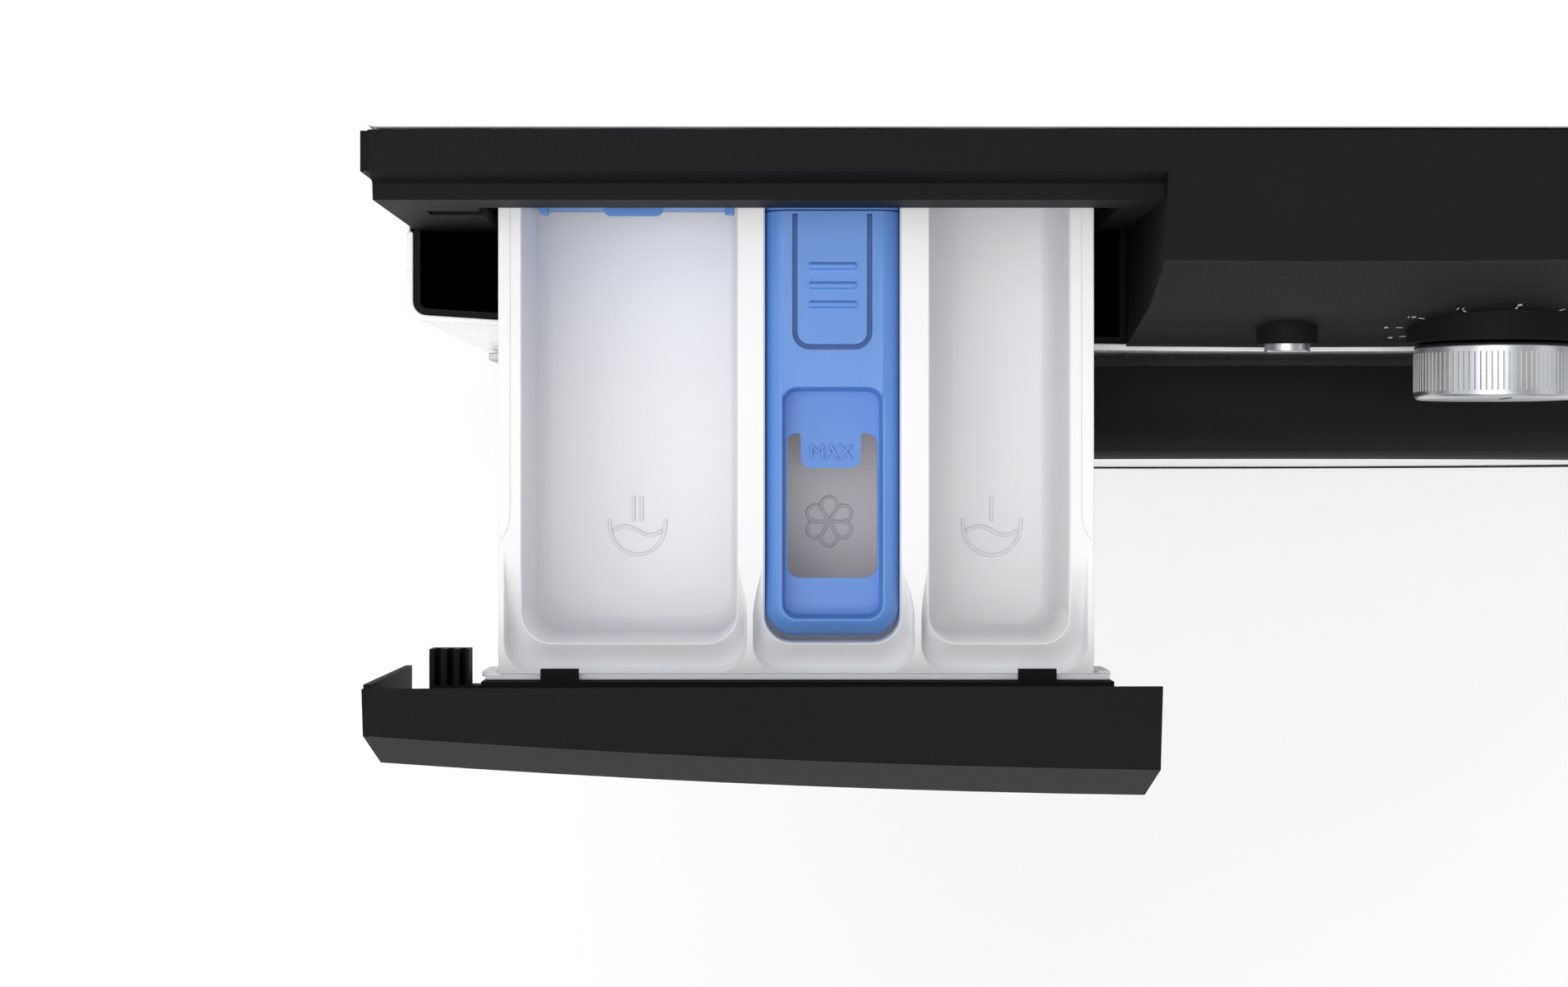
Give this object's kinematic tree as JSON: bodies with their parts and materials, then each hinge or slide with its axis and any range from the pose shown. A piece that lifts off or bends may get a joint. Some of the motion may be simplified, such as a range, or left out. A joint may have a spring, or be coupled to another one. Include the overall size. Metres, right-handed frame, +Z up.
{
  "type": "front load washing machine",
  "caption": "Free-standing front-loading washing machine with its detergent drawer pulled out, a round hinged door, a sprung tub, a belt-driven drum and adjustable feet.",
  "frame": {"origin": "middle of the cabinet's footprint, on the floor the feet stand on", "axes": "+Z up, -Y towards the user (the front), +X to the right seen from the front"},
  "size_m": [0.599, 0.7049, 0.85],
  "materials": {
    "white_enamel": "satin white enamel",
    "worktop_laminate": "white laminate",
    "panel_black": "black, finely grained, semi-gloss",
    "window_black": "high gloss black",
    "tray_white": "moulded polypropylene",
    "siphon_blue": "moulded, satin",
    "galvanised": "galvanised sheet",
    "stainless": "polished stainless",
    "rubber_grey": "moulded",
    "tub_grey": "glass filled polypropylene",
    "concrete": "cast concrete",
    "glass": "clear pressed glass",
    "knob_grey": "satin silver",
    "cast_alloy": "as cast",
    "hose_grey": "corrugated",
    "valve_blue": "moulded",
    "board_grey": "moulded"
  },
  "bodies": {
    "cabinet": {"side_panel_left": "white_enamel", "side_panel_right": "white_enamel", "rear_panel": "galvanised", "base_frame": "galvanised", "crossbar": "galvanised", "worktop": "worktop_laminate", "front_panel": "white_enamel", "fascia": "panel_black", "display_window": "window_black", "dispenser_housing": "tray_white", "control_module": "board_grey", "hinge_bracket": "galvanised", "door_lock": "panel_black", "gasket": "rubber_grey", "damper_tubes": "tub_grey", "springs": "galvanised", "drain_pump": "tray_white", "drain_hose": "hose_grey", "sump_hose": "hose_grey", "dispenser_hose": "hose_grey", "fill_hose": "hose_grey", "inlet_valve": "valve_blue", "cable_gland": "rubber_grey"},
    "tub": {"tub_front": "tub_grey", "tub_rear": "tub_grey", "counterweight_top": "concrete", "counterweight_front": "concrete", "motor": "cast_alloy", "drive_belt": "rubber_grey", "bearings": "stainless", "damper_rods": "galvanised", "heater": "stainless"},
    "drum": {"drum_shell": "stainless", "drum_back": "stainless", "lifters": "tray_white", "spider": "cast_alloy", "drum_shaft": "stainless", "drum_pulley": "cast_alloy"},
    "motor_rotor": {"motor_pulley": "stainless"},
    "door": {"door_ring": "panel_black", "door_window": "window_black", "door_back": "tub_grey", "door_glass": "glass", "door_arm": "galvanised", "door_hook": "galvanised", "door_handle": "knob_grey"},
    "drawer": {"drawer_tray": "tray_white", "drawer_front": "panel_black"},
    "siphon": {"siphon_insert": "siphon_blue"},
    "flap": {"liquid_flap": "siphon_blue"},
    "programme_knob": {"knob": "knob_grey"},
    "power_key": {"power_button": "knob_grey"},
    "start_key": {"start_button": "knob_grey"},
    "hatch": {"service_flap": "white_enamel"},
    "filter": {"filter_cap": "panel_black"},
    "foot_fl": {"foot_front_left": "rubber_grey"},
    "foot_fr": {"foot_front_right": "rubber_grey"},
    "foot_rl": {"foot_rear_left": "rubber_grey"},
    "foot_rr": {"foot_rear_right": "rubber_grey"}
  },
  "joints": [
    {"name": "tub_bounce", "type": "slide", "parent": "cabinet", "child": "tub", "axis": [0, 0, 1], "range_m": [-0.01, 0.01], "stiffness_N_per_m": 16000, "springref_m": 0.0145, "deforming": ["springs", "sump_hose", "dispenser_hose", "gasket"]},
    {"name": "drum_spin", "type": "hinge", "parent": "tub", "child": "drum", "pos_m": [0, 0.15, 0.455], "axis": [0, 1, 0], "continuous": true},
    {"name": "motor_spin", "type": "hinge", "parent": "tub", "child": "motor_rotor", "pos_m": [0.1, 0.15, 0.128], "axis": [0, 1, 0], "continuous": true},
    {"name": "door_swing", "type": "hinge", "parent": "cabinet", "child": "door", "pos_m": [-0.272, -0.284, 0.455], "axis": [0, 0, -1], "range_deg": [0, 140]},
    {"name": "drawer_slide", "type": "slide", "parent": "cabinet", "child": "drawer", "axis": [0, -1, 0], "range_m": [-0.155, 0]},
    {"name": "siphon_lift", "type": "slide", "parent": "drawer", "child": "siphon", "axis": [0, 0, 1], "range_m": [0, 0.07]},
    {"name": "liquid_flap_swing", "type": "hinge", "parent": "drawer", "child": "flap", "pos_m": [-0.22, -0.2298, 0.794], "axis": [-1, 0, 0], "range_deg": [0, 85]},
    {"name": "knob_turn", "type": "hinge", "parent": "cabinet", "child": "programme_knob", "pos_m": [0.062, -0.26, 0.7615], "axis": [0, -1, 0], "continuous": true},
    {"name": "power_press", "type": "slide", "parent": "cabinet", "child": "power_key", "axis": [0, 1, 0], "range_m": [0, 0.002], "stiffness_N_per_m": 400, "springref_m": -0.001},
    {"name": "start_press", "type": "slide", "parent": "cabinet", "child": "start_key", "axis": [0, 1, 0], "range_m": [0, 0.002], "stiffness_N_per_m": 400, "springref_m": -0.001},
    {"name": "hatch_swing", "type": "hinge", "parent": "cabinet", "child": "hatch", "pos_m": [0.162, -0.26621, 0.049], "axis": [1, 0, 0], "range_deg": [0, 90]},
    {"name": "filter_turn", "type": "hinge", "parent": "cabinet", "child": "filter", "pos_m": [0.15, -0.245, 0.084], "axis": [0, -1, 0], "range_deg": [0, 180]},
    {"name": "foot_fl_adjust", "type": "slide", "parent": "cabinet", "child": "foot_fl", "axis": [0, 0, -1], "range_m": [0, 0.012]},
    {"name": "foot_fr_adjust", "type": "slide", "parent": "cabinet", "child": "foot_fr", "axis": [0, 0, -1], "range_m": [0, 0.012]},
    {"name": "foot_rl_adjust", "type": "slide", "parent": "cabinet", "child": "foot_rl", "axis": [0, 0, -1], "range_m": [0, 0.012]},
    {"name": "foot_rr_adjust", "type": "slide", "parent": "cabinet", "child": "foot_rr", "axis": [0, 0, -1], "range_m": [0, 0.012]}
  ],
  "couplings": [
    {"joint": "motor_spin", "follows": "drum_spin", "ratio": 14}
  ]
}
